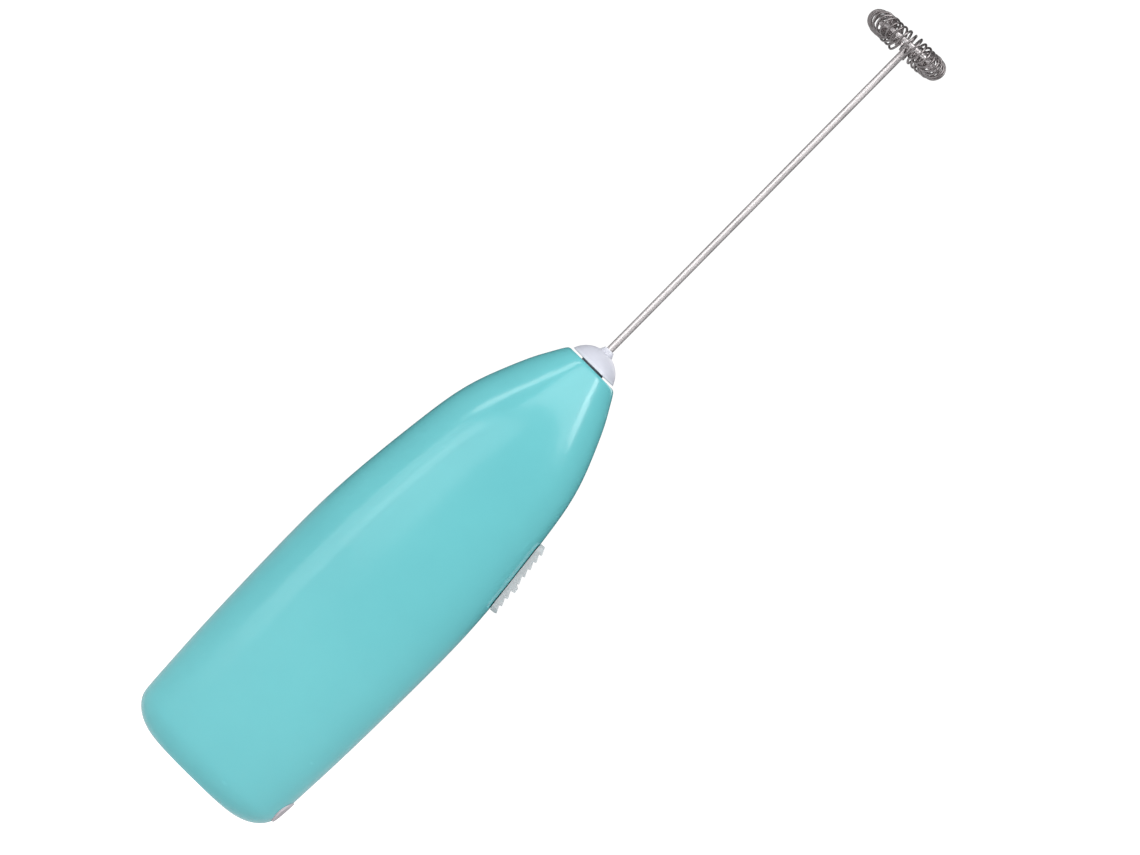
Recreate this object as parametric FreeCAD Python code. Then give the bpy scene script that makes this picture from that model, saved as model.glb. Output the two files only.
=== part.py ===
import FreeCAD, Part
import math
import os

Vector = FreeCAD.Vector

# Battery milk frother, standing on its base. Millimetres.
# +Z runs along the whisk shaft, X across the wide front, -Y is the plain front face.
# The origin is the middle of the base, on the shaft's axis.

# Body, a flattened teardrop moulded in two halves with a battery cover
body_length = 117.9
body_width = 41.0
body_depth = 26.0
nose_radius = 6.5
nose_edge_round = 0.5
front_squareness = 2.6
nose_squareness = 2.0
base_corner_x = 9.0
base_corner_y = 4.0
base_corner_z = 6.5
wall = 1.8
nose_wall = 2.0
seam_gap = 0.12
fit_gap = 0.3
running_gap = 0.07
seat_gap = 0.05
cut_past = 2.0

# Battery cover, the lower part of the back
cover_top = 62.0
cover_arch_radius = 70.0
cover_joint_gap = 0.15
tongue_radius = 3.0
grip_groove_count = 5
grip_groove_pitch = 2.6
grip_groove_drop = 9.0
grip_groove_radius = 0.7
grip_groove_length = 13.0
grip_groove_depth = 0.45
catch_height = 5.6
catch_depth = 5.2
catch_centre_z = 7.6
catch_proud = 0.3
catch_travel = 0.8
catch_gap = 0.15
catch_lip = 0.9
catch_lip_inset = 0.3
catch_room = 0.5

# Batteries and their contacts
cell_radius = 7.25
cell_length = 50.5
cell_gap = 0.7
cell_edge = 0.5
cell_dimple = 0.2
cell_dimple_margin = 2.2
nub_radius = 2.75
nub_height = 1.0
contact_thickness = 0.3
contact_width = 9.0
strip_width = 3.0
negative_strip_rise = 2.5
battery_spring_height = 3.0
battery_spring_wire = 0.35
battery_spring_radius = 3.1
battery_spring_taper = 0.9
battery_spring_turns = 3

# Inner frame
floor_thickness = 1.2
bulkhead_thickness = 1.6
spine_thickness = 1.1
spine_half_width = 7.0
spine_pad_inset = 1.0
spine_pad_thickness = 1.2
floor_corner = 5.0
floor_side_margin = 0.8
cradle_thickness = 1.6
cradle_mouth = 2.5
cradle_bevel_across = 0.9
cradle_bevel_low = 0.5
cradle_bevel_high = 1.9
cradle_root = 0.2
cradle_lift = 1.0

# Motor, a common flat-sided can
motor_gap = 13.0
motor_radius = 10.05
motor_flat = 7.55
motor_can_length = 21.8
motor_wall = 0.8
end_bell_height = 3.2
end_bell_plug = 1.5
end_bell_floor = 1.8
brush_room = 2.2
motor_shaft_radius = 1.0
motor_shaft_reach = 9.5
front_boss_radius = 3.05
front_boss_height = 1.7
bearing_radius = 2.0
bearing_clearance = 0.03
rear_boss_radius = 2.7
rear_boss_height = 1.4
magnet_thickness = 2.0
magnet_half_height = 5.6
magnet_from_bottom = 2.6
magnet_from_top = 3.4
armature_radius = 6.3
armature_length = 12.0
armature_from_bottom = 4.2
armature_poles = 3
armature_hub_radius = 2.6
pole_half_width = 1.1
pole_shoe_thickness = 0.8
pole_slot_half = 0.7
winding_half_width = 2.1
winding_inner_radius = 3.4
winding_outer_gap = 1.3
winding_overhang = 0.9
commutator_radius = 2.4
commutator_length = 2.8
commutator_drop = 1.0
commutator_slit_half = 0.12
commutator_slit_radius = 1.6
commutator_band = 0.4
brush_half_width = 1.1
brush_contact_gap = 0.05
brush_thickness = 0.5
brush_arm_thickness = 0.2
brush_arm_drop = 0.6
brush_tip_height = 1.8
terminal_x = 7.0
terminal_half_thickness = 0.2
terminal_drop = 3.0
shaft_end_gap = 0.3
shaft_chamfer = 0.2

# Shaft, coupler and whisk
whisk_shaft_radius = 0.8
coupler_radius = 2.5
coupler_chamfer = 0.4
coupler_grip = 5.7
shaft_reach = 93.7
ring_radius = 7.6
ring_wire_radius = 0.5
ring_tilt = 3.0
coil_offset = 0.7
coil_radius = 2.3
coil_wire_radius = 0.25
coil_turns = 34
coil_end_angle = 8.0
coil_wobble = 0.14
coil_steps_per_turn = 10

# Nose cap
dome_base_radius = 5.7
dome_gap = 0.5
dome_height = 4.0
dome_boss_radius = 1.7
dome_boss_height = 0.9
dome_boss_root = 1.0
dome_boss_flare = 0.6
dome_boss_shoulder = 0.25
dome_boss_rim = 0.35
neck_radius = 2.9
neck_flange_radius = 4.6
neck_flange_thickness = 1.5

# Slide switch on the narrow side
switch_height = 76.15
switch_length = 17.1
switch_width = 8.0
switch_proud = 1.55
switch_groove = 0.55
switch_skirt = 1.2
switch_rib_count = 9
rib_rise = 0.15
rib_flat = 0.25
stop_rib = 3
stop_rib_extra = 0.4
stop_rib_flat = 1.0
switch_corner = 1.6
switch_travel = 4.0
switch_seat_gap = 0.2
stem_length = 8.0
stem_width = 3.0
stem_grip = 1.0
slide_clearance = 0.2
carrier_depth = 2.2
carrier_width = 6.8
carrier_margin = 0.6
wiper_gap = 0.05
wiper_width = 2.4
wiper_end_margin = 0.1
wiper_overlap = 0.7
wiper_off_gap = 1.5
feed_top = -3.6
output_bottom = 0.4
switch_base_thickness = 1.25
switch_base_side = 0.8
switch_base_margin = 0.3
switch_rib_half = 1.5
terminal_proud = 1.0

# Fixings and wires
screw_head_radius = 1.9
screw_head_height = 1.3
screw_radius = 1.0
screw_length = 10.0
screw_tip_gap = 0.4
screw_seat_y = 4.0
screw_cross_share = 0.62
screw_cross_half = 0.25
screw_cross_depth = 0.6
boss_radius = 2.8
lower_screw_reach = 11.0
lower_screw_rise = 6.5
upper_screw_x = 6.2
upper_screw_drop = 12.9
wire_radius = 0.6
wire_bend = 1.0
wire_rise = 2.2
wire_lap = 0.2
wire_motor_gap = 0.35

# Heights that follow from the sizes above
floor_bottom = wall + fit_gap
floor_top = floor_bottom + floor_thickness
bay_bottom = floor_top + contact_thickness
bay_top = bay_bottom + battery_spring_height + cell_length
bulkhead_bottom = bay_top + contact_thickness
bulkhead_top = bulkhead_bottom + bulkhead_thickness
motor_bottom = bulkhead_top + motor_gap
can_bottom = motor_bottom + end_bell_height
can_top = can_bottom + motor_can_length
motor_shaft_top = can_top + motor_shaft_reach
coupler_bottom = motor_shaft_top - coupler_grip
coupler_top = motor_shaft_top + coupler_grip
cell_x = cell_radius + cell_gap / 2
spine_back = -max(cell_radius + fit_gap, motor_flat)
spine_front = spine_back - spine_thickness
whisk_height = body_length + shaft_reach
lower_screw_z = bulkhead_top + lower_screw_rise
upper_screw_z = body_length - upper_screw_drop
cells_side = 2 * cell_radius + cell_gap / 2
boss_side = lower_screw_reach + boss_radius
strip_x = fit_gap + max(cells_side, boss_side + 2 * wire_radius - wire_lap - contact_thickness)
spine_pad_heights = [0.3 * bay_top, 0.8 * bay_top, can_top - 5.0]
armature_bottom = can_bottom + armature_from_bottom
armature_top = armature_bottom + armature_length
whisk_shaft_bottom = motor_shaft_top + shaft_end_gap
wire_level = motor_bottom - terminal_drop + wire_radius + wire_lap

# Places along the switch's travel, from the knob's middle
wiper_low = feed_top - switch_travel - wiper_overlap
wiper_high = output_bottom - wiper_off_gap
carrier_bottom = wiper_low - wiper_end_margin
carrier_top = stem_length / 2 + carrier_margin
switch_base_low = wiper_low - switch_base_margin
output_top = carrier_top + switch_travel
switch_base_high = output_top - terminal_proud

# Depths below the surface inside the switch
carrier_out = -(wall + 2 * fit_gap)
carrier_in = carrier_out - carrier_depth
wiper_in = carrier_in - contact_thickness
terminal_out = wiper_in - wiper_gap
terminal_in = terminal_out - contact_thickness
switch_base_in = terminal_in - switch_base_thickness
switch_base_half = carrier_width / 2 + switch_base_side

# The body's outline as shares of its length, half width and half depth
outline = [
    (0.140, 0.961, 0.965),
    (0.250, 0.985, 0.985),
    (0.390, 1.000, 1.000),
    (0.540, 0.987, 1.000),
    (0.645, 0.932, 0.985),
    (0.750, 0.857, 0.950),
    (0.830, 0.766, 0.895),
    (0.900, 0.617, 0.800),
    (0.955, 0.470, 0.665),
]
base_width_share = 0.932
base_depth_share = 0.936
squareness_start = 0.7
half_section_steps = 16
base_round_steps = 6
nose_round_steps = 3
last_section_gap = 1.5
section_heights = [
    0.10, 0.16, 0.25, 0.34, 0.43, 0.52, 0.60, 0.67,
    0.74, 0.80, 0.85, 0.89, 0.925, 0.955, 0.98,
]


def smooth_curve(knots):
    """A natural cubic through the knots; gives (value, slope) at any place."""
    places = [knot[0] for knot in knots]
    values = [knot[1] for knot in knots]
    last = len(knots) - 1
    gaps = [places[i + 1] - places[i] for i in range(last)]
    steps = [(values[i + 1] - values[i]) / gaps[i] for i in range(last)]
    share = [0.0] * (last + 1)
    carry = [0.0] * (last + 1)
    for i in range(1, last):
        pivot = 2 * (gaps[i - 1] + gaps[i]) - gaps[i - 1] * share[i - 1]
        share[i] = gaps[i] / pivot
        carry[i] = (6 * (steps[i] - steps[i - 1]) - gaps[i - 1] * carry[i - 1]) / pivot
    bend = [0.0] * (last + 1)
    for i in range(last - 1, 0, -1):
        bend[i] = carry[i] - share[i] * bend[i + 1]

    def at(place):
        i = 0
        while i < last - 1 and place > places[i + 1]:
            i += 1
        gap = gaps[i]
        after = place - places[i]
        before = places[i + 1] - place
        low = values[i] / gap - bend[i] * gap / 6
        high = values[i + 1] / gap - bend[i + 1] * gap / 6
        cubic = (bend[i] * before ** 3 + bend[i + 1] * after ** 3) / (6 * gap)
        value = cubic + low * before + high * after
        slope = (bend[i + 1] * after ** 2 - bend[i] * before ** 2) / (2 * gap) - low + high
        return value, slope

    return at


def outline_curve(column, full_size, base_share):
    half = full_size / 2
    knots = [(base_corner_z, base_share * half)]
    knots += [(row[0] * body_length, row[column] * half) for row in outline]
    knots.append((body_length, nose_radius))
    return smooth_curve(knots)


half_width = outline_curve(1, body_width, base_width_share)
half_depth = outline_curve(2, body_depth, base_depth_share)


def squareness(height):
    """The sections are squarish along the grip and turn round towards the nose."""
    share = (height / body_length - squareness_start) / (1 - squareness_start)
    share = max(0.0, min(1.0, share))
    ease = share * share * (3 - 2 * share)
    return front_squareness + (nose_squareness - front_squareness) * ease


def section(across, deep, power, height):
    """A closed outline at one height: a back curve and a front curve that meet square at the sides."""
    edges = []
    for first in (0, half_section_steps):
        points = []
        for step in range(first, first + half_section_steps + 1):
            turn = math.pi * step / half_section_steps
            x = math.copysign(across * abs(math.cos(turn)) ** (2 / power), math.cos(turn))
            y = math.copysign(deep * abs(math.sin(turn)) ** (2 / power), math.sin(turn))
            if step % half_section_steps == 0:
                y = 0.0
            points.append(Vector(x, y, height))
        leaving = Vector(0, 1, 0) if first == 0 else Vector(0, -1, 0)
        curve = Part.BSplineCurve()
        curve.interpolate(Points=points, InitialTangent=leaving, FinalTangent=leaving.negative(), Scale=False)
        edges.append(curve.toShape())
    return Part.Wire(edges)


def body_solid(inset, top, edge_round=0.0):
    """The body's outer form, moved inwards by inset and closed at top, with its top edge rounded."""
    sections = []
    round_x = base_corner_x - inset
    round_y = max(base_corner_y - inset, fit_gap)
    round_z = base_corner_z - inset
    across = half_width(base_corner_z)[0] - inset
    deep = half_depth(base_corner_z)[0] - inset
    for step in range(base_round_steps + 1):
        turn = math.pi / 2 * step / base_round_steps
        cut = 1 - math.sin(turn)
        height = base_corner_z - round_z * math.cos(turn)
        sections.append(section(across - round_x * cut, deep - round_y * cut, front_squareness, height))
    heights = [share * body_length for share in section_heights]
    places = [(height, 0.0) for height in heights if height < top - last_section_gap]
    places.append((top - edge_round, 0.0))
    if edge_round > 0:
        for step in range(1, nose_round_steps + 1):
            turn = math.pi / 2 * step / nose_round_steps
            places.append((top - edge_round * (1 - math.sin(turn)), edge_round * (1 - math.cos(turn))))
    for height, cut in places:
        wide, wide_slope = half_width(height)
        thick, thick_slope = half_depth(height)
        wide -= inset * math.hypot(1, wide_slope) + cut
        thick -= inset * math.hypot(1, thick_slope) + cut
        sections.append(section(wide, thick, squareness(height), height))
    return Part.makeLoft(sections, True, False)


def block(x0, x1, y0, y1, z0, z1):
    return Part.makeBox(x1 - x0, y1 - y0, z1 - z0, Vector(x0, y0, z0))


def post(radius, z0, z1, x=0.0, y=0.0):
    return Part.makeCylinder(radius, z1 - z0, Vector(x, y, z0))


def rod_y(radius, y0, y1, x, z):
    return Part.makeCylinder(radius, y1 - y0, Vector(x, y0, z), Vector(0, 1, 0))


def turned(points):
    """A solid turned about Z from (radius, height) points."""
    corners = [Vector(radius, 0, height) for radius, height in points]
    outline_wire = Part.makePolygon(corners + [corners[0]])
    return Part.Face(outline_wire).revolve(Vector(0, 0, 0), Vector(0, 0, 1), 360)


def fuse_all(shapes):
    if len(shapes) == 1:
        return shapes[0]
    return shapes[0].multiFuse(shapes[1:]).removeSplitter()


def slot_face(half_length, half_height):
    """A flat oval in the XZ plane, long in X."""
    run = half_length - half_height
    top = Part.LineSegment(Vector(-run, 0, half_height), Vector(run, 0, half_height))
    bottom = Part.LineSegment(Vector(run, 0, -half_height), Vector(-run, 0, -half_height))
    right = Part.Arc(Vector(run, 0, half_height), Vector(half_length, 0, 0), Vector(run, 0, -half_height))
    left = Part.Arc(Vector(-run, 0, -half_height), Vector(-half_length, 0, 0), Vector(-run, 0, half_height))
    return Part.Face(Part.Wire([top.toShape(), right.toShape(), bottom.toShape(), left.toShape()]))


# The switch is drawn with X outwards from the body's surface and Z along its travel
switch_lean = -math.degrees(math.atan(half_width(switch_height)[1]))


def at_switch(shape):
    shape.rotate(Vector(0, 0, 0), Vector(0, 1, 0), -switch_lean)
    shape.translate(Vector(half_width(switch_height)[0], 0, switch_height))
    return shape


def switch_point(out, along):
    lean = math.radians(switch_lean)
    x = half_width(switch_height)[0] + out * math.cos(lean) - along * math.sin(lean)
    z = switch_height + out * math.sin(lean) + along * math.cos(lean)
    return Vector(x, 0, z)


# ---- Casing ----
def screw_places():
    """Two screws above the batteries, drawn in where the switch's base needs room, and two at the nose."""
    corner = switch_point(switch_base_in, switch_base_low)
    room = (boss_radius + seam_gap) ** 2 - (corner.z - lower_screw_z) ** 2
    lower_screw_x = min(lower_screw_reach, corner.x - math.sqrt(max(room, 0.0)))
    places = []
    for side in (-1, 1):
        places.append((side * lower_screw_x, lower_screw_z))
        places.append((side * upper_screw_x, upper_screw_z))
    return places


def catch_blank(grow, depth):
    """The catch's outline on the narrow side: a half oval against the seam, front half only."""
    oval = slot_face(catch_depth + grow, catch_height / 2 + grow)
    oval.rotate(Vector(0, 0, 0), Vector(0, 0, 1), 90)
    side = half_width(catch_centre_z)[0]
    oval.translate(Vector(side - depth, 0, catch_centre_z))
    prism = oval.extrude(Vector(depth + cut_past, 0, 0))
    front_half = block(0, side + 2 * cut_past, -(catch_depth + cut_past), grow - 2 * seam_gap,
                       0, catch_centre_z + catch_height)
    return prism.common(front_half)


def casing_ribs():
    """Bosses, pads and the switch rib, each drawn through the wall that they grow from."""
    ribs = []
    for x, z in screw_places():
        ribs.append(rod_y(boss_radius, -body_depth / 2, body_depth / 2, x, z))
    pad_half = spine_half_width - spine_pad_inset
    for z in spine_pad_heights:
        ribs.append(block(-pad_half, pad_half, -body_depth, spine_front, z, z + spine_pad_thickness))
    ribs.append(at_switch(block(switch_base_in, terminal_in, -body_depth, -switch_base_half,
                                -switch_rib_half, switch_rib_half)))
    return ribs


def cover_slit():
    """The thin arched gap above the battery cover."""
    half = body_width
    drop = cover_arch_radius - math.sqrt(cover_arch_radius ** 2 - half ** 2)
    ends = [(-half, cover_top - drop), (0, cover_top), (half, cover_top - drop)]
    low = [Vector(x, 0, z) for x, z in ends]
    high = [Vector(x, 0, z + cover_joint_gap) for x, z in reversed(ends)]
    edges = [
        Part.Arc(*low).toShape(),
        Part.LineSegment(low[2], high[0]).toShape(),
        Part.Arc(*high).toShape(),
        Part.LineSegment(high[2], low[0]).toShape(),
    ]
    return Part.Face(Part.Wire(edges)).extrude(Vector(0, body_depth, 0))


def switch_slot():
    """The stem's slot, as long as the stem and its travel."""
    stem_room = stem_width / 2 + slide_clearance
    low = -stem_length / 2 - slide_clearance
    high = stem_length / 2 + switch_travel + slide_clearance
    return at_switch(block(-2 * wall, cut_past, -stem_room, stem_room, low, high))


def casing_holes():
    room = body_length
    tongue = post(tongue_radius, -cut_past, wall + fit_gap)
    tongue_slit = post(tongue_radius + seam_gap, -cut_past, wall + fit_gap).cut(tongue)
    tongue_slit = tongue_slit.common(block(-room, room, -seam_gap / 2, room, -cut_past, room))
    seam = block(-room, room, -seam_gap / 2, seam_gap / 2, -cut_past, 2 * room)
    seam = seam.cut(tongue).fuse(tongue_slit)
    holes = [
        post(neck_radius + seam_gap, body_length - 2 * nose_wall, body_length + cut_past),
        seam,
        cover_slit(),
        catch_blank(catch_gap, wall + catch_lip + catch_travel + catch_room),
    ]
    for x, z in screw_places():
        holes.append(rod_y(screw_head_radius + catch_gap, screw_seat_y, body_depth, x, z))
        holes.append(rod_y(screw_radius + catch_gap, 0, body_depth, x, z))
        holes.append(rod_y(screw_radius, screw_seat_y - screw_length, 0, x, z))
    for row in range(grip_groove_count):
        z = cover_top - grip_groove_drop - row * grip_groove_pitch
        y = half_depth(z)[0] + grip_groove_radius - grip_groove_depth
        start = Vector(-grip_groove_length / 2, y, z)
        holes.append(Part.makeCylinder(grip_groove_radius, grip_groove_length, start, Vector(1, 0, 0)))
    return holes


def make_casing():
    """The front shell, the back shell and the battery cover, cut from one hollow form."""
    outer = body_solid(0.0, body_length, nose_edge_round)
    hollow = body_solid(wall, body_length - nose_wall).cut(casing_ribs()).Solids[0]
    shell = Part.makeSolid(Part.makeCompound([outer.Shells[0], hollow.Shells[0].reversed()]))
    pieces = shell.cut(casing_holes()).Solids
    front = [piece for piece in pieces if piece.CenterOfMass.y < 0]
    rear = [piece for piece in pieces if piece.CenterOfMass.y > 0]
    if len(front) != 1 or len(rear) != 2:
        raise ValueError("the casing should come apart into three pieces")
    cover, back = sorted(rear, key=lambda piece: piece.CenterOfMass.z)
    return front[0].cut(switch_slot()).Solids[0], back.cut(switch_slot()).Solids[0], cover


def make_cover_catch():
    side = half_width(catch_centre_z)[0]
    face = catch_blank(0.0, wall)
    proud = body_solid(-catch_proud, body_length)
    face = face.common(proud)
    lip_half = catch_height / 2 - catch_lip_inset
    lip = block(side - wall - catch_lip, side - wall, -catch_depth - catch_lip, -2 * seam_gap,
                catch_centre_z - lip_half, catch_centre_z + lip_half)
    return face.fuse(lip.common(body_solid(wall + catch_gap, body_length - nose_wall)))


def make_nose_cap():
    bottom = body_length + dome_gap
    top = bottom + dome_height
    ball = (dome_base_radius ** 2 + dome_height ** 2) / (2 * dome_height)
    dome = Part.makeSphere(ball, Vector(0, 0, top - ball))
    dome = dome.common(post(dome_base_radius + cut_past, bottom, top + cut_past))
    boss = turned([
        (0, top - dome_boss_root),
        (dome_boss_radius + dome_boss_flare, top - dome_boss_root),
        (dome_boss_radius, top - dome_boss_shoulder),
        (whisk_shaft_radius + dome_boss_rim, top + dome_boss_height),
        (0, top + dome_boss_height),
    ])
    flange_top = body_length - nose_wall - seat_gap
    flange_bottom = flange_top - neck_flange_thickness
    neck_top = bottom + seat_gap
    neck = turned([
        (0, flange_bottom),
        (neck_flange_radius, flange_bottom),
        (neck_flange_radius, flange_top),
        (neck_radius, flange_top),
        (neck_radius, neck_top),
        (0, neck_top),
    ])
    cap = fuse_all([dome, boss, neck])
    return cap.cut(post(whisk_shaft_radius + running_gap, flange_bottom - cut_past, top + cut_past))


# ---- Inner frame, batteries and contacts ----
def rounded_slab(half_x, half_y, corner, z0, z1):
    slab = block(-half_x, half_x, -half_y, half_y, z0, z1)
    uprights = [edge for edge in slab.Edges if edge.BoundBox.ZLength > 0.5 * (z1 - z0)]
    return slab.makeFillet(corner, uprights)


def motor_cradle(z):
    """A tray across the spine whose ends rise round the motor's front flank."""
    half = motor_radius + fit_gap
    near = [
        (spine_half_width, spine_front + cradle_root),
        (half - cradle_bevel_across, -motor_flat + cradle_bevel_low),
        (half, -motor_flat + cradle_bevel_high),
        (half, -cradle_mouth),
    ]
    far = [(-x, y) for x, y in reversed(near)]
    corners = [Vector(x, y, z) for x, y in near + far]
    return Part.Face(Part.makePolygon(corners + [corners[0]])).extrude(Vector(0, 0, cradle_thickness))


def make_inner_frame():
    """The moulded tray behind the front shell: floor, bulkhead, spine and two motor cradles."""
    cradle_low = can_bottom + cradle_lift
    cradle_high = can_top - 4 * cradle_thickness
    bulkhead_half = strip_x - seat_gap
    floor_half_x = half_width(base_corner_z)[0] - base_corner_x + spine_pad_inset
    floor_half_y = cell_radius - floor_side_margin
    foot_half = spine_half_width - spine_pad_inset
    spine_middle = spine_back - spine_thickness / 2
    pieces = [
        rounded_slab(floor_half_x, floor_half_y, floor_corner, floor_bottom, floor_top),
        block(-foot_half, foot_half, spine_middle, 0, floor_bottom, floor_top),
        block(-bulkhead_half, bulkhead_half, -cell_radius, cell_radius, bulkhead_bottom, bulkhead_top),
        block(-spine_half_width, spine_half_width, spine_front, spine_back,
              floor_bottom + floor_thickness / 2, cradle_high + cradle_thickness / 2),
        block(-foot_half, foot_half, spine_middle, 0, bulkhead_bottom, bulkhead_top),
    ]
    for z in (cradle_low, cradle_high):
        pieces.append(motor_cradle(z))
    frame = fuse_all(pieces)
    return frame.cut(flat_can(motor_radius + seat_gap, motor_flat + seat_gap,
                              motor_bottom - cut_past, can_top + cut_past))


def make_cell(side, plus_up):
    bottom = bay_bottom
    if plus_up:
        bottom += battery_spring_height
    shoulder = cell_length - nub_height
    dimple_radius = cell_radius - cell_dimple_margin
    cell = turned([
        (0, cell_dimple),
        (dimple_radius, cell_dimple),
        (dimple_radius + cell_dimple, 0),
        (cell_radius - cell_edge, 0),
        (cell_radius, cell_edge),
        (cell_radius, shoulder - cell_edge),
        (cell_radius - cell_edge, shoulder),
        (nub_radius, shoulder),
        (nub_radius, cell_length - cell_dimple),
        (nub_radius - cell_dimple, cell_length),
        (0, cell_length),
    ])
    if not plus_up:
        cell.rotate(Vector(0, 0, cell_length / 2), Vector(1, 0, 0), 180)
    cell.translate(Vector(side * cell_x, 0, bottom))
    return cell


def coil_spring(radius_low, radius_high, height, turns, wire):
    """A coil that narrows from one end to the other, with its wire's middle starting at z = 0."""
    steps = turns * 12
    points = []
    for step in range(steps + 1):
        share = step / steps
        turn = 2 * math.pi * turns * share
        radius = radius_low + (radius_high - radius_low) * share
        points.append(Vector(radius * math.cos(turn), radius * math.sin(turn), height * share))
    curve = Part.BSplineCurve()
    curve.interpolate(points)
    return swept_wire(curve, wire)


def swept_wire(curve, radius):
    start = curve.value(curve.FirstParameter)
    heading = curve.tangent(curve.FirstParameter)[0]
    end = Part.Wire([Part.Circle(start, heading, radius).toShape()])
    return Part.Wire([curve.toShape()]).makePipeShell([end], True, True)


def battery_spring(side, at_top):
    rise = battery_spring_height - 2 * battery_spring_wire
    narrow = battery_spring_radius - battery_spring_taper
    spring = coil_spring(battery_spring_radius, narrow, rise, battery_spring_turns, battery_spring_wire)
    if at_top:
        spring.rotate(Vector(0, 0, 0), Vector(1, 0, 0), 180)
        spring.translate(Vector(side * cell_x, 0, bay_top - battery_spring_wire))
    else:
        spring.translate(Vector(side * cell_x, 0, bay_bottom + battery_spring_wire))
    return spring


def top_contact(side, strip_top):
    """A plate on the cell's end with a strip that runs up past the bulkhead's end."""
    half = contact_width / 2
    middle = side * cell_x
    plate = block(middle - half, middle + half, -half, half, bay_top, bulkhead_bottom)
    reach = sorted([middle, side * (strip_x + contact_thickness)])
    arm = block(reach[0], reach[1], -strip_width / 2, strip_width / 2, bay_top, bulkhead_bottom)
    edges = sorted([side * strip_x, side * (strip_x + contact_thickness)])
    strip = block(edges[0], edges[1], -strip_width / 2, strip_width / 2, bay_top, strip_top)
    return [plate, arm, strip]


def make_positive_contact():
    half = strip_width / 2
    low = switch_base_low - switch_base_margin
    tab = at_switch(block(terminal_in, terminal_out, -half, half, low, feed_top))
    meet = switch_point(terminal_in, low)
    left = min(strip_x, meet.x)
    right = max(strip_x, meet.x) + contact_thickness
    bridge = block(left, right, -half, half, meet.z - contact_thickness, meet.z + seat_gap)
    return fuse_all(top_contact(1, meet.z) + [bridge, tab])


def make_bridge_contact():
    half = contact_width / 2
    return block(-cell_x - half, cell_x + half, -half, half, floor_top, bay_bottom)


# ---- Motor ----
def flat_can(radius, flat, z0, z1):
    return post(radius, z0, z1).common(block(-radius, radius, -flat, flat, z0, z1))


def make_motor_can():
    can = flat_can(motor_radius, motor_flat, can_bottom, can_top)
    can = can.fuse(post(front_boss_radius, can_top, can_top + front_boss_height))
    can = can.cut(flat_can(motor_radius - motor_wall, motor_flat - motor_wall,
                           can_bottom - cut_past, can_top - motor_wall))
    return can.cut(post(bearing_radius, can_bottom, can_top + front_boss_height + cut_past))


def make_end_bell():
    plug_top = can_bottom + end_bell_plug
    bell = flat_can(motor_radius, motor_flat, motor_bottom, can_bottom)
    bell = bell.fuse(flat_can(motor_radius - motor_wall, motor_flat - motor_wall, can_bottom, plug_top))
    bell = bell.fuse(post(rear_boss_radius, motor_bottom - rear_boss_height, motor_bottom))
    bell = bell.cut(post(commutator_radius + brush_room, motor_bottom + end_bell_floor, plug_top + cut_past))
    bell = bell.cut(post(bearing_radius, motor_bottom - rear_boss_height - cut_past, plug_top))
    for side in (-1, 1):
        bell = bell.cut(terminal_tab(side))
        bell = bell.cut(brush_arm(side))
    return bell


def bearing(z0, z1):
    return turned([
        (motor_shaft_radius + bearing_clearance, z0),
        (bearing_radius, z0),
        (bearing_radius, z1),
        (motor_shaft_radius + bearing_clearance, z1),
    ])


def terminal_tab(side):
    middle = side * terminal_x
    return block(middle - terminal_half_thickness, middle + terminal_half_thickness,
                 -brush_half_width, brush_half_width,
                 motor_bottom - terminal_drop, can_bottom - brush_arm_drop)


def brush_arm(side):
    """A flat spring arm from its terminal to the commutator's side."""
    inner = commutator_radius + brush_contact_gap
    arm_top = can_bottom - brush_arm_drop
    edges = sorted([side * inner, side * (terminal_x - terminal_half_thickness)])
    arm = block(edges[0], edges[1], -brush_half_width, brush_half_width,
                arm_top - brush_arm_thickness, arm_top)
    tips = sorted([side * inner, side * (inner + brush_thickness)])
    return arm.fuse(block(tips[0], tips[1], -brush_half_width, brush_half_width,
                          arm_top, arm_top + brush_tip_height))


def make_magnets():
    outer = motor_radius - motor_wall
    low = can_bottom + magnet_from_bottom
    high = can_top - magnet_from_top
    ring = turned([
        (outer - magnet_thickness, low),
        (outer, low),
        (outer, high),
        (outer - magnet_thickness, high),
    ])
    return ring.common(block(-outer, outer, -magnet_half_height, magnet_half_height, can_bottom, can_top))


def pole_block(half_wide, r0, r1, z0, z1, pole):
    arm = block(r0, r1, -half_wide, half_wide, z0, z1)
    arm.rotate(Vector(0, 0, 0), Vector(0, 0, 1), 360 / armature_poles * pole + 90)
    return arm


def make_armature():
    shoe_inner = armature_radius - pole_shoe_thickness
    shoe_middle = armature_radius - pole_shoe_thickness / 2
    low = armature_bottom
    high = armature_top
    shoes = turned([(shoe_inner, low), (armature_radius, low), (armature_radius, high), (shoe_inner, high)])
    pieces = [post(armature_hub_radius, low, high)]
    for pole in range(armature_poles):
        pieces.append(pole_block(pole_half_width, motor_shaft_radius + pole_shoe_thickness, shoe_middle, low, high, pole))
        slot = pole_block(pole_slot_half, motor_shaft_radius, armature_radius + cut_past,
                          low, high, pole + 0.5)
        shoes = shoes.cut(slot)
    pieces.append(shoes)
    return fuse_all(pieces).cut(post(motor_shaft_radius, armature_bottom, armature_top))


def make_windings():
    windings = []
    for pole in range(armature_poles):
        coil = pole_block(winding_half_width, winding_inner_radius, armature_radius - winding_outer_gap,
                          armature_bottom - winding_overhang, armature_top + winding_overhang, pole)
        core = pole_block(pole_half_width, armature_hub_radius, armature_radius,
                          armature_bottom, armature_top, pole)
        windings.append(coil.cut(core))
    return Part.makeCompound(windings)


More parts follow.
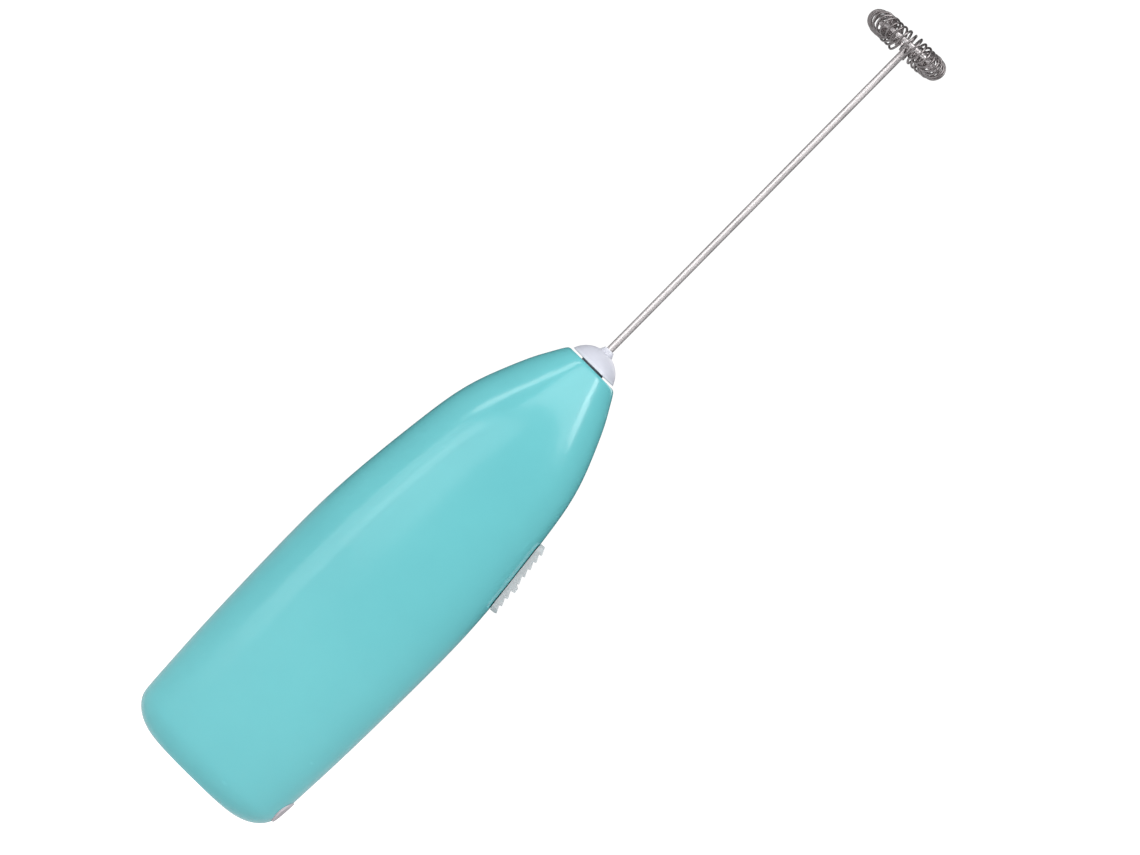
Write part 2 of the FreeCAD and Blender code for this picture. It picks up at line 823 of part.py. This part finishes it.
def make_commutator():
    top = armature_bottom - commutator_drop
    bottom = top - commutator_length
    ring = turned([
        (motor_shaft_radius, bottom),
        (commutator_radius, bottom),
        (commutator_radius, top),
        (motor_shaft_radius, top),
    ])
    for pole in range(armature_poles):
        slit = pole_block(commutator_slit_half, commutator_slit_radius, commutator_radius + cut_past,
                          bottom - cut_past, top - commutator_band, pole)
        ring = ring.cut(slit)
    return ring


def make_motor_shaft():
    bottom = motor_bottom - rear_boss_height - shaft_end_gap
    edge = shaft_chamfer
    return turned([
        (0, bottom),
        (motor_shaft_radius - edge, bottom),
        (motor_shaft_radius, bottom + edge),
        (motor_shaft_radius, motor_shaft_top - edge),
        (motor_shaft_radius - edge, motor_shaft_top),
        (0, motor_shaft_top),
    ])


# ---- Coupler and whisk ----
def make_coupler():
    join = whisk_shaft_bottom
    edge = coupler_chamfer
    return turned([
        (motor_shaft_radius, coupler_bottom),
        (coupler_radius - edge, coupler_bottom),
        (coupler_radius, coupler_bottom + edge),
        (coupler_radius, coupler_top - edge),
        (coupler_radius - edge, coupler_top),
        (whisk_shaft_radius, coupler_top),
        (whisk_shaft_radius, join),
        (motor_shaft_radius, join),
    ])


def tilt_whisk(shape):
    shape.rotate(Vector(0, 0, 0), Vector(0, 1, 0), -ring_tilt)
    shape.translate(Vector(0, 0, whisk_height))
    return shape


def make_whisk_ring():
    """A wire ring with one straight spoke from the shaft's end to the ring, at the back."""
    ring = Part.makeTorus(ring_radius, ring_wire_radius)
    spoke = rod_y(ring_wire_radius, 0, ring_radius, 0, 0)
    ring = tilt_whisk(ring.fuse(spoke))
    shaft_end = post(whisk_shaft_radius, whisk_height - ring_radius, whisk_height + ring_wire_radius)
    return ring.cut(shaft_end)


def make_whisk_coil():
    """A fine wire wound round the ring; each turn differs a little, as hand-wound wire does."""
    steps = coil_turns * coil_steps_per_turn
    start = math.radians(90 + coil_end_angle)
    span = math.radians(360 - 2 * coil_end_angle)
    points = []
    for step in range(steps + 1):
        share = step / steps
        round_ring = start + span * share
        round_wire = 2 * math.pi * coil_turns * share
        uneven = coil_wobble * math.sin(7.3 * round_ring) * math.sin(0.37 * round_wire)
        radius = coil_radius + uneven - coil_wobble
        out = ring_radius + radius * math.cos(round_wire)
        rise = radius * math.sin(round_wire)
        points.append(Vector(out * math.cos(round_ring), out * math.sin(round_ring), rise))
    curve = Part.BSplineCurve()
    curve.interpolate(points)
    coil = swept_wire(curve, coil_wire_radius)
    coil.translate(Vector(-coil_offset, 0, 0))
    return tilt_whisk(coil)


# ---- Switch ----
def seat_form():
    """The body's side under the knob, taken as round and drawn straight along the travel."""
    half = switch_width / 2
    across = half_width(switch_height)[0]
    deep = half_depth(switch_height)[0]
    drop = across * (1 - (1 - (half / deep) ** front_squareness) ** (1 / front_squareness))
    radius = (half ** 2 + drop ** 2) / (2 * drop)
    return post(radius, -switch_length, switch_length, switch_seat_gap - radius)


def make_switch_knob():
    pitch = switch_length / switch_rib_count
    low = -switch_length / 2
    half = switch_width / 2
    valley = switch_proud - switch_groove
    corners = [Vector(-switch_skirt, -half, low), Vector(valley, -half, low)]
    for rib in range(switch_rib_count):
        foot = low + rib * pitch
        peak = switch_proud
        flat = rib_flat
        if rib == stop_rib:
            peak += stop_rib_extra
            flat = stop_rib_flat
        corners.append(Vector(peak, -half, foot + rib_rise))
        corners.append(Vector(peak, -half, foot + rib_rise + flat))
        corners.append(Vector(valley, -half, foot + pitch))
    corners.append(Vector(-switch_skirt, -half, -low))
    teeth = Part.Face(Part.makePolygon(corners + [corners[0]])).extrude(Vector(0, switch_width, 0))
    tall = switch_proud + stop_rib_extra + cut_past
    pad = block(-2 * switch_skirt, tall, -half, half, low, -low)
    uprights = [edge for edge in pad.Edges if abs(edge.tangentAt(edge.FirstParameter).x) > 0.9]
    knob = teeth.common(pad.makeFillet(switch_corner, uprights)).cut(seat_form())
    stem = block(carrier_out - stem_grip, valley - stem_grip / 2, -stem_width / 2, stem_width / 2,
                 -stem_length / 2, stem_length / 2)
    return at_switch(knob.fuse(stem).removeSplitter())


def make_switch_carrier():
    half = carrier_width / 2
    body = block(carrier_in, carrier_out, -half, half, carrier_bottom, carrier_top)
    pocket = block(carrier_out - stem_grip, carrier_out, -stem_width / 2, stem_width / 2,
                   -stem_length / 2, stem_length / 2)
    return at_switch(body.cut(pocket))


def make_wiper():
    return at_switch(block(wiper_in, carrier_in, -wiper_width / 2, wiper_width / 2, wiper_low, wiper_high))


def make_switch_base():
    half = switch_base_half
    return at_switch(block(switch_base_in, terminal_in, -half, half, switch_base_low, switch_base_high))


def make_switch_output():
    half = strip_width / 2
    return at_switch(block(terminal_in, terminal_out, -half, half, output_bottom, output_top))


# ---- Wires and screws ----
def bent_wire(points, radius, bend):
    """Straight runs joined by tangent arcs."""
    edges = []
    at = points[0]
    for i in range(1, len(points) - 1):
        back = (points[i - 1] - points[i]).normalize()
        ahead = (points[i + 1] - points[i]).normalize()
        half_angle = back.getAngle(ahead) / 2
        reach = bend / math.tan(half_angle)
        first = points[i] + back * reach
        last = points[i] + ahead * reach
        middle_way = (back + ahead).normalize()
        middle = points[i] + middle_way * (bend / math.sin(half_angle) - bend)
        edges.append(Part.LineSegment(at, first).toShape())
        edges.append(Part.Arc(first, middle, last).toShape())
        at = last
    edges.append(Part.LineSegment(at, points[-1]).toShape())
    heading = points[1] - points[0]
    end = Part.Wire([Part.Circle(points[0], heading, radius).toShape()])
    return Part.Wire(edges).makePipeShell([end], True, False)


def make_negative_wire():
    x = -(strip_x + contact_thickness - wire_radius + wire_lap)
    points = [
        Vector(x, 0, bulkhead_top + negative_strip_rise),
        Vector(x, 0, wire_level),
        Vector(-terminal_x - terminal_half_thickness, 0, wire_level),
    ]
    return bent_wire(points, wire_radius, wire_bend)


def make_positive_wire():
    start = switch_point((terminal_in + terminal_out) / 2, output_top)
    over = start.z + wire_rise
    base_side = switch_point(switch_base_in, switch_base_high).x
    down = min(motor_radius + wire_radius + wire_motor_gap, base_side - wire_radius - seat_gap)
    points = [
        start,
        Vector(start.x, 0, over),
        Vector(down, 0, over),
        Vector(down, 0, wire_level),
        Vector(terminal_x + terminal_half_thickness, 0, wire_level),
    ]
    return bent_wire(points, wire_radius, wire_bend)


def make_screws():
    screws = []
    for x, z in screw_places():
        shank = rod_y(screw_radius, screw_seat_y - screw_length + screw_tip_gap, screw_seat_y, x, z)
        head_top = screw_seat_y + screw_head_height
        head = rod_y(screw_head_radius, screw_seat_y, head_top, x, z)
        long = screw_head_radius * screw_cross_share
        short = screw_cross_half
        low = head_top - screw_cross_depth
        high = head_top + cut_past
        cross = block(x - long, x + long, low, high, z - short, z + short)
        cross = cross.fuse(block(x - short, x + short, low, high, z - long, z + long))
        screws.append(shank.fuse(head).cut(cross))
    return Part.makeCompound(screws)


# ---- Everything, by node name ----
front_shell, back_shell, battery_cover = make_casing()

parts = {
    "front_shell": front_shell,
    "back_shell": back_shell,
    "battery_cover": battery_cover,
    "cover_catch": make_cover_catch(),
    "nose_cap": make_nose_cap(),
    "inner_frame": make_inner_frame(),
    "battery_left": make_cell(-1, False),
    "battery_right": make_cell(1, True),
    "positive_contact": make_positive_contact(),
    "negative_contact": fuse_all(top_contact(-1, bulkhead_top + negative_strip_rise)),
    "negative_spring": battery_spring(-1, True),
    "bridge_contact": make_bridge_contact(),
    "bridge_spring": battery_spring(1, False),
    "motor_can": make_motor_can(),
    "motor_end_bell": make_end_bell(),
    "motor_terminals": Part.makeCompound([terminal_tab(-1), terminal_tab(1)]),
    "motor_brushes": Part.makeCompound([brush_arm(-1), brush_arm(1)]),
    "motor_magnets": make_magnets(),
    "front_bearing": bearing(can_top - motor_wall, can_top + front_boss_height),
    "rear_bearing": bearing(motor_bottom - rear_boss_height, motor_bottom + end_bell_floor),
    "armature_core": make_armature(),
    "armature_windings": make_windings(),
    "commutator": make_commutator(),
    "motor_shaft": make_motor_shaft(),
    "shaft_coupler": make_coupler(),
    "whisk_shaft": post(whisk_shaft_radius, whisk_shaft_bottom, whisk_height),
    "whisk_ring": make_whisk_ring(),
    "whisk_coil": make_whisk_coil(),
    "switch_knob": make_switch_knob(),
    "switch_carrier": make_switch_carrier(),
    "switch_wiper": make_wiper(),
    "switch_base": make_switch_base(),
    "switch_output": make_switch_output(),
    "positive_wire": make_positive_wire(),
    "negative_wire": make_negative_wire(),
    "shell_screws": make_screws(),
}

os.makedirs("parts", exist_ok=True)
for name, shape in parts.items():
    shape.exportStep(os.path.join("parts", name + ".step"))
    print(name, shape.isValid(), len(shape.Solids), round(shape.Volume, 2))
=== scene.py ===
import bpy
import math
from mathutils import Matrix, Vector

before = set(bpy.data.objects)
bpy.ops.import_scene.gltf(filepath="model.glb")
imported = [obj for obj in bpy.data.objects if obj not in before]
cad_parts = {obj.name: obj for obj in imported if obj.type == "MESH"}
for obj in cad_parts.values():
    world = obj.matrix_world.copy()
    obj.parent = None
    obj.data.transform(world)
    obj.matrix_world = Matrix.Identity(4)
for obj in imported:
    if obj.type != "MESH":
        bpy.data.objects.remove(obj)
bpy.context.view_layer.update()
MM = 0.001

# ---------------------------------------------------------------- camera, first
VIEW_ROLL = math.radians(44.64)
VIEW_CENTRE = Vector((5.4 * MM, 0.0, 106.1 * MM))
VIEW_DISTANCE = 1.313
LENS = 200.0
SENSOR_WIDTH = 36.0


def make_camera():
    data = bpy.data.cameras.new("camera")
    data.lens = LENS
    data.sensor_width = SENSOR_WIDTH
    data.clip_start = 0.05
    data.clip_end = 50.0
    camera = bpy.data.objects.new("camera", data)
    bpy.context.scene.collection.objects.link(camera)
    upright = Matrix.Rotation(math.radians(90), 4, "X")
    roll = Matrix.Rotation(VIEW_ROLL, 4, "Z")
    place = Matrix.Translation(VIEW_CENTRE + Vector((0, -VIEW_DISTANCE, 0)))
    camera.matrix_world = place @ upright @ roll
    bpy.context.scene.camera = camera


# ---------------------------------------------------------------- node helpers
class Shader:
    """A small wrapper that adds nodes to one material and wires them."""

    def __init__(self, name):
        self.material = bpy.data.materials.new(name)
        self.material.use_nodes = True
        self.tree = self.material.node_tree
        self.tree.nodes.clear()
        self.output = self.add("ShaderNodeOutputMaterial")
        self.main = self.add("ShaderNodeBsdfPrincipled")
        self.tree.links.new(self.main.outputs["BSDF"], self.output.inputs["Surface"])
        self.place = self.add("ShaderNodeTexCoord").outputs["Object"]

    def add(self, kind, **settings):
        node = self.tree.nodes.new(kind)
        for key, value in settings.items():
            setattr(node, key, value)
        return node

    def link(self, source, target):
        self.tree.links.new(source, target)

    def stretch(self, scale):
        mapping = self.add("ShaderNodeMapping")
        mapping.inputs["Scale"].default_value = scale
        self.link(self.place, mapping.inputs["Vector"])
        return mapping.outputs["Vector"]

    def noise(self, scale, detail=3.0, rough=0.5, stretch=None):
        node = self.add("ShaderNodeTexNoise")
        node.inputs["Scale"].default_value = scale
        node.inputs["Detail"].default_value = detail
        node.inputs["Roughness"].default_value = rough
        self.link(self.stretch(stretch) if stretch else self.place, node.inputs["Vector"])
        return node.outputs["Fac"]

    def ramp(self, source, low, high, from_low=0.3, from_high=0.7):
        node = self.add("ShaderNodeMapRange")
        node.inputs["From Min"].default_value = from_low
        node.inputs["From Max"].default_value = from_high
        node.inputs["To Min"].default_value = low
        node.inputs["To Max"].default_value = high
        self.link(source, node.inputs["Value"])
        return node.outputs["Result"]

    def blend(self, source, first, second):
        node = self.add("ShaderNodeMix", data_type="RGBA")
        for name, colour in (("A", first), ("B", second)):
            if isinstance(colour, tuple):
                node.inputs[name].default_value = (*colour, 1)
            else:
                self.link(colour, node.inputs[name])
        self.link(source, node.inputs["Factor"])
        return node.outputs["Result"]

    def bump(self, source, strength, distance):
        node = self.add("ShaderNodeBump")
        node.inputs["Strength"].default_value = strength
        node.inputs["Distance"].default_value = distance
        self.link(source, node.inputs["Height"])
        self.link(node.outputs["Normal"], self.main.inputs["Normal"])

    def edges(self, low, high):
        node = self.add("ShaderNodeNewGeometry")
        return self.ramp(node.outputs["Pointiness"], 0.0, 1.0, low, high)

    def fix(self, **values):
        """Sets values on the shader's own sockets, named as they are there with _ for spaces."""
        for name, value in values.items():
            self.main.inputs[name.replace("_", " ")].default_value = value


# How strongly an edge must stand out before it looks rubbed: small mouldings, then smooth shells
WORN_EDGE = (0.52, 0.62)
SHELL_EDGE = (0.60, 0.85)
WORN_GAIN = 1.18
WORN_LIFT = 0.02
CLOUD_SCALE = 38.0
SMEAR_SCALE = 90.0
SMEAR_STRETCH = (1.0, 1.0, 0.35)
GRAIN_STRENGTH = 0.25
COAT_ROUGHNESS = 0.06
SCATTER_DEPTH = 0.004
SCATTER_SCALE = 0.4
ALONG_Z = (1.0, 1.0, 0.02)
EVEN = (1, 1, 1)
ROUND_THE_WIRE = (0.1, 0.1, 6.0)
PATCH_SCALE = 160.0
PATCH_SPREAD = 0.12
STREAK_STRENGTH = 0.2


def moulded_plastic(name, colour, deeper, roughness, gloss_spread, grain=20e-6, grain_scale=2200.0,
                    coat=0.0, subsurface=0.0, worn_from=WORN_EDGE):
    """Injection-moulded plastic: faint cloudiness in the colour, an uneven polish and a fine skin."""
    shader = Shader(name)
    cloud = shader.noise(CLOUD_SCALE, 4.0, 0.55)
    tint = shader.blend(shader.ramp(cloud, 0.0, 1.0), colour, deeper)
    rubbed = tuple(min(1.0, part * WORN_GAIN + WORN_LIFT) for part in colour)
    shader.link(shader.blend(shader.edges(*worn_from), tint, rubbed), shader.main.inputs["Base Color"])
    smear = shader.noise(SMEAR_SCALE, 6.0, 0.65, SMEAR_STRETCH)
    shader.link(shader.ramp(smear, roughness, roughness + gloss_spread), shader.main.inputs["Roughness"])
    shader.bump(shader.noise(grain_scale, 2.0), GRAIN_STRENGTH, grain)
    shader.fix(Coat_Weight=coat, Coat_Roughness=COAT_ROUGHNESS, Subsurface_Weight=subsurface,
               Subsurface_Radius=(SCATTER_DEPTH,) * 3, Subsurface_Scale=SCATTER_SCALE)
    return shader.material


def drawn_metal(name, colour, darker, roughness, streak=ALONG_Z, streak_scale=900.0, dent=10e-6):
    """Drawn or rolled metal: streaks along its length and small dull patches."""
    shader = Shader(name)
    streaks = shader.noise(streak_scale, 5.0, 0.6, streak)
    tint = shader.blend(shader.ramp(streaks, 0.0, 1.0), colour, darker)
    shader.link(tint, shader.main.inputs["Base Color"])
    patches = shader.noise(PATCH_SCALE, 4.0, 0.6)
    shader.link(shader.ramp(patches, roughness, roughness + PATCH_SPREAD), shader.main.inputs["Roughness"])
    shader.fix(Metallic=1.0)
    shader.bump(streaks, STREAK_STRENGTH, dent)
    return shader.material


def wear_on(node, material):
    """Gives a CAD node its material, in each of its slots."""
    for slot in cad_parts[node].material_slots:
        slot.material = material


# ---------------------------------------------------------------- materials
TEAL = (0.150, 0.560, 0.590)
TEAL_DEEP = (0.138, 0.530, 0.565)

shell_plastic = moulded_plastic("teal_gloss", TEAL, TEAL_DEEP, 0.16, 0.07, coat=0.25,
                                worn_from=SHELL_EDGE)
nose_plastic = moulded_plastic("nose_plastic", (0.66, 0.67, 0.74), (0.60, 0.61, 0.69), 0.28, 0.10,
                               subsurface=0.25)
switch_plastic = moulded_plastic("switch_plastic", (0.47, 0.48, 0.49), (0.41, 0.42, 0.43), 0.42, 0.12,
                                 grain=40e-6, grain_scale=1500.0)
catch_plastic = moulded_plastic("catch_plastic", (0.52, 0.47, 0.50), (0.46, 0.42, 0.46), 0.38, 0.10)
frame_plastic = moulded_plastic("frame_plastic", (0.62, 0.62, 0.58), (0.55, 0.55, 0.52), 0.5, 0.12)
white_nylon = moulded_plastic("white_nylon", (0.72, 0.71, 0.67), (0.65, 0.64, 0.60), 0.45, 0.12)
whisk_steel = drawn_metal("whisk_steel", (0.88, 0.83, 0.83), (0.82, 0.77, 0.77), 0.34, streak_scale=260.0,
                          dent=2e-6)
coil_steel = drawn_metal("coil_steel", (0.36, 0.33, 0.33), (0.20, 0.18, 0.18), 0.24, EVEN, 500.0)
plain_steel = drawn_metal("plain_steel", (0.58, 0.58, 0.59), (0.44, 0.44, 0.45), 0.30)
brass_strip = drawn_metal("brass_strip", (0.78, 0.60, 0.30), (0.62, 0.46, 0.22), 0.28)
bronze_bush = drawn_metal("bronze_bush", (0.52, 0.36, 0.20), (0.40, 0.27, 0.15), 0.42)
copper_wire = drawn_metal("copper_wire", (0.72, 0.33, 0.17), (0.50, 0.20, 0.10), 0.30, ROUND_THE_WIRE, 700.0)
magnet_black = moulded_plastic("magnet_black", (0.035, 0.035, 0.038), (0.02, 0.02, 0.022), 0.55, 0.2)
red_pvc = moulded_plastic("red_pvc", (0.52, 0.02, 0.015), (0.42, 0.015, 0.012), 0.38, 0.1)
black_pvc = moulded_plastic("black_pvc", (0.012, 0.012, 0.012), (0.02, 0.02, 0.02), 0.38, 0.1)
cell_sleeve = moulded_plastic("cell_sleeve", (0.055, 0.06, 0.075), (0.04, 0.045, 0.055), 0.24, 0.08,
                              worn_from=SHELL_EDGE)

FINISHES = (
    (shell_plastic, "front_shell back_shell battery_cover"),
    (catch_plastic, "cover_catch"),
    (nose_plastic, "nose_cap"),
    (switch_plastic, "switch_knob"),
    (frame_plastic, "inner_frame"),
    (cell_sleeve, "battery_left battery_right"),
    (plain_steel, "positive_contact negative_contact negative_spring bridge_contact bridge_spring"),
    (plain_steel, "motor_can armature_core motor_shaft shell_screws"),
    (white_nylon, "motor_end_bell shaft_coupler switch_carrier switch_base"),
    (brass_strip, "motor_terminals motor_brushes switch_wiper switch_output"),
    (bronze_bush, "front_bearing rear_bearing"),
    (copper_wire, "armature_windings commutator"),
    (magnet_black, "motor_magnets"),
    (whisk_steel, "whisk_shaft whisk_ring"),
    (coil_steel, "whisk_coil"),
    (red_pvc, "positive_wire"),
    (black_pvc, "negative_wire"),
)
for finish, nodes in FINISHES:
    for node_name in nodes.split():
        wear_on(node_name, finish)


# ---------------------------------------------------------------- stage and light
FLOOR_HALF = 6.0
FLOOR_LIFT = 0.72
FLOOR_HEIGHT = -0.066
LIGHT_AIM = Vector((0.0, 0.0, 0.09))
SKY = (0.96, 0.98, 1.0)
WORLD_SEEN = 1.05
WORLD_LEFT = 0.46
WORLD_RIGHT = 0.28
WORLD_TOP = 1.3
WORLD_GLOSS = 0.9
WORLD_BEHIND = 0.12
WHITE = (1, 1, 1)


def make_floor():
    """A plain pale floor, low enough for the battery cover to slide off above it."""
    mesh = bpy.data.meshes.new("floor")
    corners = [(-FLOOR_HALF, -FLOOR_HALF), (FLOOR_HALF, -FLOOR_HALF), (FLOOR_HALF, FLOOR_HALF),
               (-FLOOR_HALF, FLOOR_HALF)]
    mesh.from_pydata([(x, y, FLOOR_HEIGHT) for x, y in corners], [], [(0, 1, 2, 3)])
    floor = bpy.data.objects.new("floor", mesh)
    bpy.context.scene.collection.objects.link(floor)
    shader = Shader("floor_paint")
    paint = shader.blend(shader.noise(3.0), (0.82, 0.82, 0.82), (0.80, 0.80, 0.80))
    shader.link(paint, shader.main.inputs["Base Color"])
    shader.fix(Roughness=0.9, Specular_IOR_Level=0.0, Emission_Color=(*WHITE, 1))
    seen = shader.add("ShaderNodeLightPath").outputs["Is Camera Ray"]
    shader.link(shader.ramp(seen, 0.0, FLOOR_LIFT, 0.0, 1.0), shader.main.inputs["Emission Strength"])
    mesh.materials.append(shader.material)


def soft_box(name, azimuth, elevation, distance, width, height, radiance):
    """A soft box aimed at the body. Azimuth 0 stands in front (-Y), positive to the right (+X)."""
    turn = math.radians(azimuth)
    rise = math.radians(elevation)
    way = Vector((math.sin(turn) * math.cos(rise), -math.cos(turn) * math.cos(rise), math.sin(rise)))
    data = bpy.data.lights.new(name, "AREA")
    data.shape = "RECTANGLE"
    data.size = width
    data.size_y = height
    data.energy = radiance * width * height * math.pi
    lamp = bpy.data.objects.new(name, data)
    bpy.context.scene.collection.objects.link(lamp)
    lamp.location = LIGHT_AIM + way * distance
    lamp.rotation_mode = "QUATERNION"
    lamp.rotation_quaternion = (-way).to_track_quat("-Z", "Y")


def make_world():
    """Soft surroundings: white where seen, brighter on the left, and dark behind in reflections."""
    world = bpy.data.worlds.new("studio")
    bpy.context.scene.world = world
    world.use_nodes = True
    tree = world.node_tree
    tree.nodes.clear()

    def math_node(operation, first, second):
        node = tree.nodes.new("ShaderNodeMath")
        node.operation = operation
        for slot, value in enumerate((first, second)):
            if isinstance(value, float):
                node.inputs[slot].default_value = value
            else:
                tree.links.new(value, node.inputs[slot])
        return node.outputs["Value"]

    def background(strength, colour):
        node = tree.nodes.new("ShaderNodeBackground")
        node.inputs["Color"].default_value = (*colour, 1)
        if isinstance(strength, float):
            node.inputs["Strength"].default_value = strength
        else:
            tree.links.new(strength, node.inputs["Strength"])
        return node.outputs["Background"]

    def spread(source, from_low, from_high, low, high):
        node = tree.nodes.new("ShaderNodeMapRange")
        node.interpolation_type = "SMOOTHSTEP"
        settings = {"From Min": from_low, "From Max": from_high, "To Min": low, "To Max": high}
        for name, value in settings.items():
            node.inputs[name].default_value = value
        tree.links.new(source, node.inputs["Value"])
        return node.outputs["Result"]

    def mix(factor, first, second):
        node = tree.nodes.new("ShaderNodeMixShader")
        tree.links.new(factor, node.inputs["Fac"])
        tree.links.new(first, node.inputs[1])
        tree.links.new(second, node.inputs[2])
        return node.outputs["Shader"]

    way = tree.nodes.new("ShaderNodeSeparateXYZ")
    tree.links.new(tree.nodes.new("ShaderNodeTexCoord").outputs["Generated"], way.inputs["Vector"])
    rays = tree.nodes.new("ShaderNodeLightPath")
    sideways = spread(way.outputs["X"], -1.0, 1.0, WORLD_LEFT, WORLD_RIGHT)
    upwards = spread(way.outputs["Z"], -0.2, 1.0, 1.0, WORLD_TOP)
    felt = math_node("MULTIPLY", sideways, upwards)
    behind = spread(way.outputs["Y"], -0.25, 0.75, WORLD_GLOSS, WORLD_BEHIND)
    mirrored = math_node("MULTIPLY", felt, behind)
    seen = background(WORLD_SEEN, WHITE)
    surroundings = mix(rays.outputs["Is Glossy Ray"], background(felt, SKY), background(mirrored, SKY))
    output = tree.nodes.new("ShaderNodeOutputWorld")
    tree.links.new(mix(rays.outputs["Is Camera Ray"], surroundings, seen), output.inputs["Surface"])


make_camera()
make_floor()
make_world()
for box in (
    # name, azimuth, elevation, distance, width, height, radiance
    ("front_box", 8, 42, 1.5, 1.9, 1.0, 1.9),
    ("low_box", -20, 6, 1.6, 0.9, 0.5, 1.1),
    ("left_shoulder", -57, 34, 1.1, 0.17, 0.75, 4.2),
    ("left_side", -40, 2, 1.2, 0.50, 0.45, 1.3),
    ("right_shoulder", 52, 42, 1.1, 0.24, 0.62, 5.4),
    ("back_box", 165, 35, 1.7, 1.0, 1.0, 1.3),
):
    soft_box(*box)
bpy.context.scene.view_settings.view_transform = "Standard"
